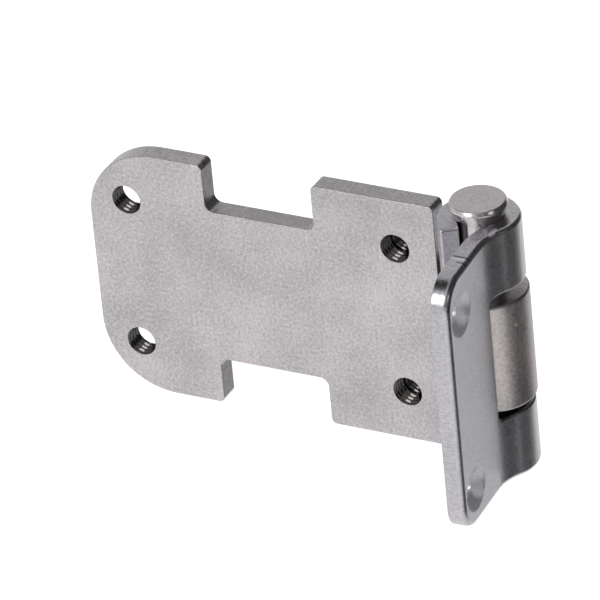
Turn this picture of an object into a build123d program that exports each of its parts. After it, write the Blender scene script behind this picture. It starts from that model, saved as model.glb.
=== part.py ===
from build123d import *
import os
from math import atan2, cos, degrees, radians, sin, sqrt

# Frame of the model, in millimetres.
# The origin is the middle of the four tapped holes, on the front face of the mounting plate.
# +X runs along the plate towards the hinge pin, +Y goes into the plate, +Z is up along the pin.

# Mounting plate: flat steel, its far corners round, a notch in its top and bottom edges
PLATE_WIDTH = 68.2
PLATE_HEIGHT = 48.5
PLATE_THICKNESS = 4.0
FAR_CORNER_RADIUS = 13.5
NEAR_CORNER_RADIUS = 1.0
NOTCH_WIDTH = 21.3
NOTCH_DEPTH = 9.1
NOTCH_FLOOR_RADIUS = 1.6
NOTCH_MOUTH_RADIUS = 1.1
PLATE_EDGE_BREAK = 0.4

# Four M6 tapped holes, drilled to the thread's inner diameter
HOLE_SPACING_X = 52.7
HOLE_SPACING_Z = 29.1
FAR_EDGE_TO_HOLE = 7.5
TAP_DRILL_DIAMETER = 5.0
TAP_ENTRY_DIAMETER = 5.6

# Hinge pin: its head sits on the upper knuckle of the leaf
PIN_DIAMETER = 8.0
PIN_END_CHAMFER = 0.6
PLATE_TO_PIN = 9.0
HEAD_HEIGHT = 3.0
HEAD_DIAMETER = 10.5
HEAD_NECK_DIAMETER = 8.8
HEAD_BEVEL_HEIGHT = 2.2
HEAD_TOP_DIAMETER = 9.7

# Knuckle strap: sheet welded on the back of the plate and rolled round the pin
STRAP_THICKNESS = 3.7
STRAP_RUNNING_CLEARANCE = 0.05
STRAP_WRAP_ANGLE = 275.0
STRAP_PAD_WIDTH = 21.0
STRAP_PAD_HEIGHT = 39.0
STRAP_PAD_SETBACK = 0.85
STRAP_PAD_CORNER = 2.5
STRAP_THROAT_RADIUS = 2.0
STRAP_EDGE_BREAK = 0.5
KNUCKLE_UPPER_GAP = 2.1
KNUCKLE_LOWER_GAP = 1.1

# Electrode marks of the four spot welds on the back of the strap
WELD_MARK_DIAMETER = 5.0
WELD_MARK_DEPTH = 0.25
WELD_SPACING_X = 12.0
WELD_SPACING_Z = 10.0

# Screw leaf: one formed sheet, a flat flange bent into two knuckles that grip the pin
LEAF_THICKNESS = 3.35
LEAF_HEIGHT = 49.6
LEAF_REST_SPLAY = 3.5
FLANGE_REACH = 25.3
FLANGE_OFFSET = 0.85
FLANGE_UPPER_CORNER_RADIUS = 5.8
FLANGE_LOWER_CORNER_RADIUS = 5.0
REVERSE_BEND_RADIUS = 10.0
CURL_END_ANGLE = 209.5
CURL_TAIL_LENGTH = 3.9
UPPER_KNUCKLE_HEIGHT = 12.35
LOWER_KNUCKLE_HEIGHT = 12.85
WINDOW_REACH = 8.1
WINDOW_CORNER_RADIUS = 1.5
LEAF_RIM_BREAK = 0.9
WINDOW_EDGE_BREAK = 0.5

# Two countersunk screw holes in the flange
SCREW_HOLE_DIAMETER = 4.5
COUNTERSINK_DIAMETER = 8.2
COUNTERSINK_ANGLE = 90.0
SCREW_REACH = 19.9
SCREW_SPACING = 35.1
SCREW_MIDDLE_Z = -0.6

# Places that follow from the sizes above
plate_far_x = -HOLE_SPACING_X / 2 - FAR_EDGE_TO_HOLE
plate_near_x = plate_far_x + PLATE_WIDTH
plate_middle_x = (plate_far_x + plate_near_x) / 2
pin_radius = PIN_DIAMETER / 2
strap_inner_radius = pin_radius + STRAP_RUNNING_CLEARANCE
strap_outer_radius = strap_inner_radius + STRAP_THICKNESS
leaf_inner_radius = pin_radius
leaf_outer_radius = leaf_inner_radius + LEAF_THICKNESS
pin_x = plate_near_x + PLATE_TO_PIN
pin_y = PLATE_THICKNESS - strap_inner_radius
leaf_top_z = LEAF_HEIGHT / 2
leaf_bottom_z = -LEAF_HEIGHT / 2
window_top_z = leaf_top_z - UPPER_KNUCKLE_HEIGHT
window_bottom_z = leaf_bottom_z + LOWER_KNUCKLE_HEIGHT
knuckle_top_z = window_top_z - KNUCKLE_UPPER_GAP
knuckle_bottom_z = window_bottom_z + KNUCKLE_LOWER_GAP
knuckle_height = knuckle_top_z - knuckle_bottom_z
knuckle_middle_z = (knuckle_top_z + knuckle_bottom_z) / 2
pad_near_x = plate_near_x - STRAP_PAD_SETBACK
pad_middle_x = pad_near_x - STRAP_PAD_WIDTH / 2
flange_outer_x = FLANGE_OFFSET + LEAF_THICKNESS

front_plane = Plane.XZ
pin_place = Pos(pin_x, pin_y, 0)


def tapped_holes(thickness):
    """Four drilled holes through a sheet of this thickness that starts at the plate's front face."""
    with BuildPart() as drills:
        with BuildSketch(front_plane):
            with GridLocations(HOLE_SPACING_X, HOLE_SPACING_Z, 2, 2):
                Circle(TAP_DRILL_DIAMETER / 2)
        extrude(amount=-thickness)
    return drills.part


def mounting_plate():
    """Flat plate with its notches, round far corners and four tapped holes."""
    with BuildPart() as plate:
        with BuildSketch(front_plane) as outline:
            with Locations((plate_middle_x, 0)):
                Rectangle(PLATE_WIDTH, PLATE_HEIGHT)
            fillet(outline.vertices().group_by(Axis.X)[0], FAR_CORNER_RADIUS)
            fillet(outline.vertices().group_by(Axis.X)[-1], NEAR_CORNER_RADIUS)
            with GridLocations(0, PLATE_HEIGHT, 1, 2):
                Rectangle(NOTCH_WIDTH, 2 * NOTCH_DEPTH, mode=Mode.SUBTRACT)
            notch_corners = outline.vertices().filter_by(lambda v: abs(abs(v.X) - NOTCH_WIDTH / 2) < 0.01)
            floor_corners = notch_corners.filter_by(lambda v: abs(v.Y) < PLATE_HEIGHT / 2 - 0.5 * NOTCH_DEPTH)
            fillet(floor_corners, NOTCH_FLOOR_RADIUS)
            mouth_corners = outline.vertices().filter_by(
                lambda v: abs(abs(v.X) - NOTCH_WIDTH / 2) < 0.01 and abs(v.Y) > PLATE_HEIGHT / 2 - 0.01
            )
            fillet(mouth_corners, NOTCH_MOUTH_RADIUS)
        extrude(amount=-PLATE_THICKNESS)
        front_face = plate.faces().sort_by(Axis.Y)[0]
        chamfer(front_face.edges(), PLATE_EDGE_BREAK)
        add(tapped_holes(PLATE_THICKNESS), mode=Mode.SUBTRACT)
        rims = plate.edges().filter_by(GeomType.CIRCLE).filter_by(
            lambda e: abs(e.radius - TAP_DRILL_DIAMETER / 2) < 0.01 and abs(e.center().Y) < 0.01
        )
        chamfer(rims, (TAP_ENTRY_DIAMETER - TAP_DRILL_DIAMETER) / 2)
    return plate.part


def strap_section():
    """Plan view of the strap about the pin: a straight run, then a curl round the pin."""
    run_length = pin_x - (pad_near_x - STRAP_PAD_WIDTH)
    end_angle = radians(90 - STRAP_WRAP_ANGLE)
    end_direction = (cos(end_angle), sin(end_angle))
    with BuildSketch() as section:
        with BuildLine():
            Line((-run_length, strap_inner_radius), (-run_length, strap_outer_radius))
            Line((-run_length, strap_outer_radius), (0, strap_outer_radius))
            CenterArc((0, 0), strap_outer_radius, 90, -STRAP_WRAP_ANGLE)
            Line(
                (strap_outer_radius * end_direction[0], strap_outer_radius * end_direction[1]),
                (strap_inner_radius * end_direction[0], strap_inner_radius * end_direction[1]),
            )
            CenterArc((0, 0), strap_inner_radius, 90 - STRAP_WRAP_ANGLE, STRAP_WRAP_ANGLE)
            Line((0, strap_inner_radius), (-run_length, strap_inner_radius))
        make_face()
    return section.sketch


def knuckle_strap():
    """Sheet that lies on the back of the plate and narrows to the middle knuckle."""
    curl_far_x = pin_x + strap_outer_radius + 1
    with BuildPart() as strap:
        with BuildSketch(Plane(origin=(pin_x, pin_y, leaf_bottom_z))):
            add(strap_section())
        extrude(amount=LEAF_HEIGHT)
        with BuildSketch(front_plane) as outline:
            with Locations((pad_middle_x, 0)):
                Rectangle(STRAP_PAD_WIDTH, STRAP_PAD_HEIGHT)
            fillet(outline.vertices(), STRAP_PAD_CORNER)
            with Locations(((pad_middle_x + curl_far_x) / 2, knuckle_middle_z)):
                Rectangle(curl_far_x - pad_middle_x, knuckle_height)
            pad_side = outline.vertices().filter_by(lambda v: abs(v.X - pad_near_x) < 0.01)
            throats = pad_side.filter_by(lambda v: abs(v.Y - knuckle_middle_z) < knuckle_height / 2 + 0.01)
            fillet(throats, STRAP_THROAT_RADIUS)
        extrude(amount=-2 * strap_outer_radius, both=True, mode=Mode.INTERSECT)
        add(tapped_holes(PLATE_THICKNESS + STRAP_THICKNESS), mode=Mode.SUBTRACT)
        back_plane = Plane(origin=(pad_middle_x, PLATE_THICKNESS + STRAP_THICKNESS, 0), z_dir=(0, 1, 0))
        with BuildSketch(back_plane):
            # The first axis of this plane runs up the hinge and the second one along it
            with GridLocations(WELD_SPACING_Z, WELD_SPACING_X, 2, 2):
                Circle(WELD_MARK_DIAMETER / 2)
        extrude(amount=-WELD_MARK_DEPTH, mode=Mode.SUBTRACT)
        outer_arcs = strap.edges().filter_by(GeomType.CIRCLE).filter_by(
            lambda e: abs(e.radius - strap_outer_radius) < 0.01
        )
        chamfer(outer_arcs, STRAP_EDGE_BREAK)
    return strap.part


def leaf_section():
    """Plan view of the leaf about the pin: flange, reverse bend, open curl and its straight tail."""
    bend_x = flange_outer_x + REVERSE_BEND_RADIUS
    bend_y = -sqrt((leaf_outer_radius + REVERSE_BEND_RADIUS) ** 2 - bend_x**2)
    bend_turn = degrees(atan2(-bend_y, bend_x))
    curl_turn = CURL_END_ANGLE + bend_turn
    end = radians(CURL_END_ANGLE)
    tail = Vector(-sin(end), cos(end)) * CURL_TAIL_LENGTH
    outer_end = Vector(cos(end), sin(end)) * leaf_outer_radius
    inner_end = Vector(cos(end), sin(end)) * leaf_inner_radius
    with BuildSketch() as section:
        with BuildLine():
            Line((FLANGE_OFFSET, -FLANGE_REACH), (flange_outer_x, -FLANGE_REACH))
            Line((flange_outer_x, -FLANGE_REACH), (flange_outer_x, bend_y))
            CenterArc((bend_x, bend_y), REVERSE_BEND_RADIUS, 180, -bend_turn)
            CenterArc((0, 0), leaf_outer_radius, -bend_turn, curl_turn)
            Line(outer_end, outer_end + tail)
            Line(outer_end + tail, inner_end + tail)
            Line(inner_end + tail, inner_end)
            CenterArc((0, 0), leaf_inner_radius, CURL_END_ANGLE, -curl_turn)
            CenterArc((bend_x, bend_y), REVERSE_BEND_RADIUS + LEAF_THICKNESS, 180 - bend_turn, bend_turn)
            Line((FLANGE_OFFSET, bend_y), (FLANGE_OFFSET, -FLANGE_REACH))
        make_face()
    return section.sketch


def screw_leaf():
    """Formed sheet with its window, rounded flange corners and two countersunk screw holes."""
    window_height = window_top_z - window_bottom_z
    window_length = WINDOW_REACH + leaf_outer_radius + 1
    side_plane = Plane(origin=(flange_outer_x, 0, 0), x_dir=(0, 1, 0), z_dir=(1, 0, 0))
    with BuildPart() as leaf:
        with BuildSketch(Plane.XY.offset(leaf_bottom_z)):
            add(leaf_section())
        extrude(amount=LEAF_HEIGHT)
        front_corners = leaf.edges().filter_by(Axis.X).filter_by(lambda e: e.center().Y < 0.01 - FLANGE_REACH)
        fillet(front_corners.group_by(Axis.Z)[-1], FLANGE_UPPER_CORNER_RADIUS)
        front_corners = leaf.edges().filter_by(Axis.X).filter_by(lambda e: e.center().Y < 0.01 - FLANGE_REACH)
        fillet(front_corners.group_by(Axis.Z)[0], FLANGE_LOWER_CORNER_RADIUS)
        with BuildSketch(side_plane) as window:
            with Locations((window_length / 2 - WINDOW_REACH, (window_top_z + window_bottom_z) / 2)):
                Rectangle(window_length, window_height)
            fillet(window.vertices().group_by(Axis.X)[0], WINDOW_CORNER_RADIUS)
        extrude(amount=2 * leaf_outer_radius, both=True, mode=Mode.SUBTRACT)
        outer_face = leaf.faces().filter_by(lambda f: abs(f.center().X - flange_outer_x) < 0.01)
        front_edge = outer_face.edges().filter_by(Axis.Z).filter_by(
            lambda e: abs(e.center().Y + FLANGE_REACH) < 0.01
        )
        chamfer(front_edge, LEAF_RIM_BREAK)
        window_uprights = leaf.edges().filter_by(Axis.Z).filter_by(
            lambda e: abs(e.center().Y + WINDOW_REACH) < 0.01
        )
        chamfer(window_uprights.sort_by(Axis.X)[-1], WINDOW_EDGE_BREAK)
        with Locations(side_plane.location):
            with Locations((-SCREW_REACH, SCREW_MIDDLE_Z)):
                with GridLocations(0, SCREW_SPACING, 1, 2):
                    CounterSinkHole(
                        SCREW_HOLE_DIAMETER / 2, COUNTERSINK_DIAMETER / 2,
                        depth=LEAF_THICKNESS, counter_sink_angle=COUNTERSINK_ANGLE,
                    )
    return pin_place * Rot(0, 0, LEAF_REST_SPLAY) * leaf.part


def hinge_pin():
    """Plain shaft with a chamfered foot and a bevelled head, turned about the pin's axis."""
    head_top_z = leaf_top_z + HEAD_HEIGHT
    bevel_top_z = leaf_top_z + HEAD_BEVEL_HEIGHT
    with BuildPart() as pin:
        with BuildSketch(Plane.XZ):
            with BuildLine():
                Polyline(
                    (0, leaf_bottom_z),
                    (pin_radius - PIN_END_CHAMFER, leaf_bottom_z),
                    (pin_radius, leaf_bottom_z + PIN_END_CHAMFER),
                    (pin_radius, leaf_top_z),
                    (HEAD_NECK_DIAMETER / 2, leaf_top_z),
                    (HEAD_DIAMETER / 2, bevel_top_z),
                    (HEAD_TOP_DIAMETER / 2, head_top_z),
                    (0, head_top_z),
                    close=True,
                )
            make_face()
        revolve(axis=Axis.Z)
    return pin_place * pin.part


NODES = {
    "mounting_plate": mounting_plate,
    "knuckle_strap": knuckle_strap,
    "screw_leaf": screw_leaf,
    "hinge_pin": hinge_pin,
}

os.makedirs("parts", exist_ok=True)
for node, build in NODES.items():
    export_step(build(), f"parts/{node}.step")
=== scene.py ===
import logging
import math
from dataclasses import dataclass, field
from enum import Enum
from typing import Any, Union

import bpy
import numpy as np
from mathutils import Matrix, Vector
from mathutils.geometry import delaunay_2d_cdt


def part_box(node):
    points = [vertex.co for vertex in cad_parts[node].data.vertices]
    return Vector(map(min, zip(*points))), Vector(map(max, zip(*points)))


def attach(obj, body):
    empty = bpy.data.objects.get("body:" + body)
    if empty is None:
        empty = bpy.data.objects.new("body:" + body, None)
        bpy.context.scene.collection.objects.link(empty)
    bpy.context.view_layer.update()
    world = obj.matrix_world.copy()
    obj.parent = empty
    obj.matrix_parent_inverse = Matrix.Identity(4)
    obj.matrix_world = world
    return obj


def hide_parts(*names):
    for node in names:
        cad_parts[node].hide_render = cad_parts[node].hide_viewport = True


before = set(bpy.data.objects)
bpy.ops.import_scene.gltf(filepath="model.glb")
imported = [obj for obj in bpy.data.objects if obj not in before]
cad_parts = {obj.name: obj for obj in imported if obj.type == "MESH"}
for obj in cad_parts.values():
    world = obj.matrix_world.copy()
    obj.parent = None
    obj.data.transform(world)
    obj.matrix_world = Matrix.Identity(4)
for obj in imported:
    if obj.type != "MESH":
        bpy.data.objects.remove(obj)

MM = 0.001
TURN = 2.0 * math.pi
WHITE = (1.0, 1.0, 1.0, 1.0)

# Normals of a sheet that is laid out flat, where depth counts down from the show face
OUT_OF_SHOW = (0.0, 0.0, -1.0)
OUT_OF_BACK = (0.0, 0.0, 1.0)

# Lengths in metres, and a share of a run, under which two places count as one
SAME_PLACE = 1e-9
SAME_STATION = 1e-8
SAME_SHARE = 1e-4

# Socket numbers of a Mix node that is set to colours
MIX_SHARE, MIX_ONE, MIX_TWO = 0, 6, 7
MIX_COLOUR = 2

logging.basicConfig(level=logging.INFO, format="%(message)s")
log = logging.getLogger("dryer_door_hinge")


class Side(Enum):
    """Which moving body of the hinge a piece rides on."""

    PLATE = "plate_side"
    LEAF = "leaf_side"


def smoothstep(x: np.ndarray) -> np.ndarray:
    """Return 0 below 0, 1 above 1 and the cubic 3x^2 - 2x^3 between them."""
    t = np.clip(x, 0.0, 1.0)
    return t * t * (3.0 - 2.0 * t)


def directions(angle: np.ndarray) -> np.ndarray:
    """Return the unit vectors (cos a, sin a) at some angles, one row each."""
    return np.stack([np.cos(angle), np.sin(angle)], axis=1)


def left_of(vectors: np.ndarray) -> np.ndarray:
    """Return vectors turned left by a quarter turn: (x, y) becomes (-y, x)."""
    return np.stack([-vectors[:, 1], vectors[:, 0]], axis=1)


def circle(segments: int) -> np.ndarray:
    """Return equally spaced angles that make one full turn."""
    return np.arange(segments) * TURN / segments


def with_third(pairs: np.ndarray, third: np.ndarray) -> np.ndarray:
    """Give a grid of pairs a third coordinate, repeated along the axes that it lacks."""
    return np.concatenate([pairs, np.broadcast_to(third, pairs.shape[:2])[:, :, None]], axis=2)


@dataclass(frozen=True)
class Path2D:
    """Points along a line in a plane, each with the unit normal on the line's right-hand side.

    A closed path runs counter-clockwise round the metal, so its right-hand side looks away from it.
    """

    points: np.ndarray
    normals: np.ndarray


def rounded_path(
    corners: list[tuple[float, float]],
    radii: list[float],
    closed: bool = True,
    stations: np.ndarray = np.zeros(0),
    arc_step: float = math.radians(6.0),
) -> Path2D:
    """Join corners by straight runs and round each one with an arc tangent to both its sides.

    The arc at a corner of radius r starts r * tan(turn / 2) before the corner. Its points lie at equal
    angles, and the normal turns with them.

    Args:
        corners: The sharp corners, in order.
        radii: The radius at each corner; an open path keeps its two ends as they are.
        closed: Whether the last corner joins the first.
        stations: First coordinates at which the straight runs also get a point.
        arc_step: The largest angle between two points of an arc.

    Returns:
        The points and their right-hand normals.
    """
    knots = np.asarray(corners, float)
    count = len(knots)
    points: list[np.ndarray] = []
    normals: list[np.ndarray] = []

    def add_run(start: np.ndarray, end: np.ndarray) -> None:
        """Add the points of a straight run that lie at the stations, its ends left out.

        Args:
            start: Where the run starts.
            end: Where it ends.
        """
        along = end - start
        length = float(np.hypot(*along))
        if length < SAME_PLACE or abs(along[0]) < SAME_PLACE or not len(stations):
            return
        share = (stations - start[0]) / along[0]
        share = np.sort(share[(share > SAME_SHARE) & (share < 1.0 - SAME_SHARE)])
        right = np.array([along[1], -along[0]]) / length
        points.append(start + share[:, None] * along)
        normals.append(np.repeat(right[None, :], len(share), axis=0))

    last_end: np.ndarray | None = None
    first_start: np.ndarray | None = None
    for index in range(count):
        here = knots[index]
        if not closed and index in (0, count - 1):
            other = knots[1] if index == 0 else knots[-2]
            along = (other - here) if index == 0 else (here - other)
            right = np.array([along[1], -along[0]]) / np.hypot(*along)
            if last_end is not None:
                add_run(last_end, here)
            points.append(here[None, :])
            normals.append(right[None, :])
            last_end = here
            continue
        before = here - knots[index - 1]
        after = knots[(index + 1) % count] - here
        before = before / np.hypot(*before)
        after = after / np.hypot(*after)
        turn = math.atan2(before[0] * after[1] - before[1] * after[0], float(before @ after))
        radius = radii[index]
        reach = radius * math.tan(abs(turn) / 2.0)
        side = 1.0 if turn > 0 else -1.0
        right = np.array([before[1], -before[0]])
        centre = here - before * reach - right * radius * side
        steps = max(2, math.ceil(abs(turn) / arc_step))
        angle = np.linspace(0.0, turn, steps + 1)
        spokes = np.stack(
            [
                right[0] * np.cos(angle) - right[1] * np.sin(angle),
                right[0] * np.sin(angle) + right[1] * np.cos(angle),
            ],
            axis=1,
        )
        arc = centre + spokes * radius * side
        if last_end is not None:
            add_run(last_end, arc[0])
        if first_start is None:
            first_start = arc[0]
        points.append(arc)
        normals.append(spokes)
        last_end = arc[-1]
    if closed:
        add_run(last_end, first_start)
    return Path2D(np.concatenate(points), np.concatenate(normals))


@dataclass(frozen=True)
class Wall:
    """A grid of points that joins the two faces of a sheet along a closed edge.

    Row i runs round the edge and column j goes from the show face to the back face. Each point is
    (along the sheet, up the sheet, depth under the show face). A blind wall ends on a floor of its own.
    """

    points: np.ndarray
    normals: np.ndarray
    thread: float = 0.0
    sink: float = 0.0
    blind: bool = False

    def numbers(self, start: int) -> np.ndarray:
        """Return the grid of the wall's vertex numbers in a mesh where its first one is start."""
        rows, columns = self.points.shape[:2]
        return start + np.arange(rows * columns).reshape(rows, columns)

    def quads(self, start: int) -> np.ndarray:
        """Join the grid into four-sided faces, closed round the edge.

        Args:
            start: The number of the first vertex in the mesh.

        Returns:
            The faces, as vertex numbers.
        """
        number = self.numbers(start)
        ahead = np.roll(number, -1, axis=0)
        return np.stack([number[:, :-1], ahead[:, :-1], ahead[:, 1:], number[:, 1:]], axis=2).reshape(-1, 4)


@dataclass(frozen=True)
class CutEdge:
    """The round-over that shearing and tumbling leave on the two rims of a sheet."""

    show_round: float
    back_round: float
    steps: int = 8

    def wall(self, outline: Path2D, thickness: float, share: np.ndarray | float = 1.0) -> Wall:
        """Carry the rim profile round an outline.

        The profile starts show_round * share inside the outline on the show face, turns over a quarter
        circle, runs straight down and turns over a quarter circle on to the back face.

        Args:
            outline: The outline with its normals away from the metal.
            thickness: The thickness of the sheet.
            share: How much of show_round each point of the outline has.

        Returns:
            The wall of the outline.
        """
        turn = np.linspace(0.0, math.pi / 2.0, self.steps)
        count = len(outline.points)
        ease = np.broadcast_to(self.show_round * np.asarray(share), (count,))[:, None]
        hem = np.full((count, 1), self.back_round)
        inset = np.concatenate([ease * (np.sin(turn) - 1.0), hem * (np.cos(turn) - 1.0)], axis=1)
        depth = np.concatenate([ease * (1.0 - np.cos(turn)), thickness - hem * (1.0 - np.sin(turn))], axis=1)
        out = np.concatenate([np.sin(turn), np.cos(turn)])
        down = np.concatenate([-np.cos(turn), np.sin(turn)])
        flat = outline.points[:, None, :] + outline.normals[:, None, :] * inset[:, :, None]
        lean = outline.normals[:, None, :] * out[None, :, None]
        return Wall(with_third(flat, depth), with_third(lean, down))


@dataclass(frozen=True)
class TurnedHole:
    """A round hole whose wall is a profile of (radius, depth) corners turned about its axis."""

    corners: list[tuple[float, float]]
    radii: list[float]
    segments: int = 72
    arc_step: float = math.radians(13.0)
    blind: bool = False

    def wall(self, centre: tuple[float, float]) -> Wall:
        """Turn the profile: a point is the centre plus radius * (cos a, sin a), at its depth.

        Args:
            centre: The middle of the hole, along and up the sheet.

        Returns:
            The wall of the hole, with normals that look into the hole.
        """
        profile = rounded_path(self.corners, self.radii, closed=False, arc_step=self.arc_step)
        ring = directions(circle(self.segments))[:, None, :]
        radius, depth = profile.points.T
        lean, down = -profile.normals.T
        points = with_third(np.asarray(centre) + ring * radius[None, :, None], depth)
        normals = with_third(ring * lean[None, :, None], down)
        normals[:, 0] = OUT_OF_SHOW
        normals[:, -1] = OUT_OF_SHOW if self.blind else OUT_OF_BACK
        return Wall(points, normals, sink=0.0 if self.blind else 1.0, blind=self.blind)


@dataclass(frozen=True)
class TappedHole:
    """A screw thread cut into a drilled hole, with a small entry cone at each open end."""

    minor_radius: float = 2.5 * MM
    thread_depth: float = 0.5 * MM
    pitch: float = 1.0 * MM
    entry_radius: float = 2.8 * MM
    crest: float = 0.12
    flank: float = 0.76
    lip: float = 0.02 * MM
    lead: float = 0.08 * MM
    segments: int = 80
    rows_per_pitch: int = 12

    def wall(
        self,
        centre: tuple[float, float],
        thickness: float,
        first_depth: float = 0.0,
        downward: float = 1.0,
        cone_at_show: bool = True,
        cone_at_back: bool = True,
    ) -> Wall:
        """Cut the thread: radius = minor + depth * groove(turns), where turns = depth / pitch + a / 360.

        The groove is a V with a flat crest, 0 on the crest and 1 at its root; crest and flank are shares
        of half a pitch. A cone of 45 degrees at an open end takes over where it is wider. One row lies a
        lip under each face, and the thread's own rows start and end a lead under it.

        Args:
            centre: The middle of the hole, along and up the sheet.
            thickness: The thickness of the sheet.
            first_depth: The thread's own depth at the show face.
            downward: 1 where the thread's depth grows under the show face, -1 where it shrinks.
            cone_at_show: Whether the show face has an entry cone.
            cone_at_back: Whether the back face has one.

        Returns:
            The threaded wall, with normals that look into the hole.
        """
        rows = int(round(thickness / self.pitch * self.rows_per_pitch))
        middle = np.linspace(self.lead, thickness - self.lead, rows)
        depth = np.concatenate([[0.0, self.lip], middle, [thickness - self.lip, thickness]])
        angle = circle(self.segments)
        turns = (first_depth + downward * depth)[None, :] / self.pitch + downward * angle[:, None] / TURN
        tooth = np.abs(2.0 * (turns - np.floor(turns)) - 1.0)
        groove = np.clip((1.0 - tooth - self.crest) / self.flank, 0.0, 1.0)
        radius = self.minor_radius + self.thread_depth * groove
        cone = self.entry_radius - self.minor_radius
        if cone_at_show:
            radius = np.maximum(radius, self.minor_radius + cone - depth[None, :])
        if cone_at_back:
            radius = np.maximum(radius, self.minor_radius + cone - (thickness - depth)[None, :])
        radius[:, 0] = self.entry_radius if cone_at_show else self.minor_radius
        radius[:, -1] = self.entry_radius if cone_at_back else self.minor_radius
        ring = directions(angle)
        points = with_third(np.asarray(centre) + ring[:, None, :] * radius[:, :, None], depth)
        slope = np.gradient(radius, depth, axis=1)
        swirl = (np.roll(radius, -1, axis=0) - np.roll(radius, 1, axis=0)) / (2.0 * TURN / self.segments)
        lean = -ring[:, None, :] + left_of(ring)[:, None, :] * (swirl / radius)[:, :, None]
        normals = with_third(lean, slope)
        normals /= np.linalg.norm(normals, axis=2, keepdims=True)
        normals[:, 0] = OUT_OF_SHOW
        normals[:, -1] = OUT_OF_BACK
        return Wall(points, normals, thread=1.0)


@dataclass(frozen=True)
class SheetPath:
    """The line that a sheet's show face follows in plan, made of runs of constant curvature.

    Each run is (length, curvature), and a positive curvature turns left. The metal lies on the left.
    """

    start: tuple[float, float]
    heading: float
    runs: list[tuple[float, float]]

    def breaks(self) -> np.ndarray:
        """Return the distances along the path at which its runs start and end."""
        return np.concatenate([[0.0], np.cumsum([length for length, _ in self.runs])])

    def follow(self, distance: np.ndarray) -> tuple[np.ndarray, np.ndarray, np.ndarray]:
        """Find the place, the heading and the curvature at each distance along the path.

        Within a run that starts at p with heading h, the place at distance s is p plus
        s * sinc(k s / 2) * (cos, sin)(h + k s / 2), which holds for arcs and for straight runs.

        Args:
            distance: Distances from the start of the path.

        Returns:
            The places, the headings in radians and the curvatures.
        """
        starts, headings = [np.asarray(self.start, float)], [self.heading]
        for length, curvature in self.runs:
            half = curvature * length / 2.0
            chord = length * np.sinc(half / math.pi)
            middle = headings[-1] + half
            starts.append(starts[-1] + chord * np.array([math.cos(middle), math.sin(middle)]))
            headings.append(headings[-1] + curvature * length)
        breaks = self.breaks()
        index = np.clip(np.searchsorted(breaks, distance, side="right") - 1, 0, len(self.runs) - 1)
        curvature = np.array([curve for _, curve in self.runs])[index]
        local = distance - breaks[index]
        half = curvature * local / 2.0
        middle = np.array(headings)[index] + half
        chord = local * np.sinc(half / math.pi)
        place = np.array(starts)[index] + chord[:, None] * directions(middle)
        return place, np.array(headings)[index] + 2.0 * half, curvature

    def stations(self, step: float) -> np.ndarray:
        """Place stations within each curved run and at the ends of every run.

        Args:
            step: The largest distance between two stations of a curved run.

        Returns:
            The distances along the path, in order.
        """
        breaks = self.breaks()
        spans = [
            np.linspace(breaks[i], breaks[i + 1], max(1, math.ceil(length / step)) + 1)
            for i, (length, curvature) in enumerate(self.runs)
            if curvature
        ]
        return np.unique(np.round(np.concatenate(spans + [breaks]), 9))


@dataclass(frozen=True)
class Seat:
    """Where a sheet's own plan lies in the hinge: turned by an angle, then moved to a point."""

    point: tuple[float, float]
    turn: float = 0.0


def inside_loops(spots: np.ndarray, loops: list[np.ndarray]) -> np.ndarray:
    """Tell which spots lie inside an odd number of closed loops.

    A spot is inside when a ray to its right crosses the loops an odd number of times.

    Args:
        spots: Places to test, one row each.
        loops: Closed polygons.

    Returns:
        True for each spot that is in the metal.
    """
    start = np.concatenate(loops)
    end = np.concatenate([np.roll(loop, -1, axis=0) for loop in loops])
    x, y = spots[:, :1], spots[:, 1:]
    spans = (start[None, :, 1] > y) != (end[None, :, 1] > y)
    least_rise = 1e-15
    rise = end[:, 1] - start[:, 1]
    rise = np.where(np.abs(rise) < least_rise, least_rise, rise)
    crossing = start[:, 0] + (y - start[:, 1]) / rise * (end[:, 0] - start[:, 0])
    return (np.count_nonzero(spans & (crossing > x), axis=1) % 2) == 1


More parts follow.
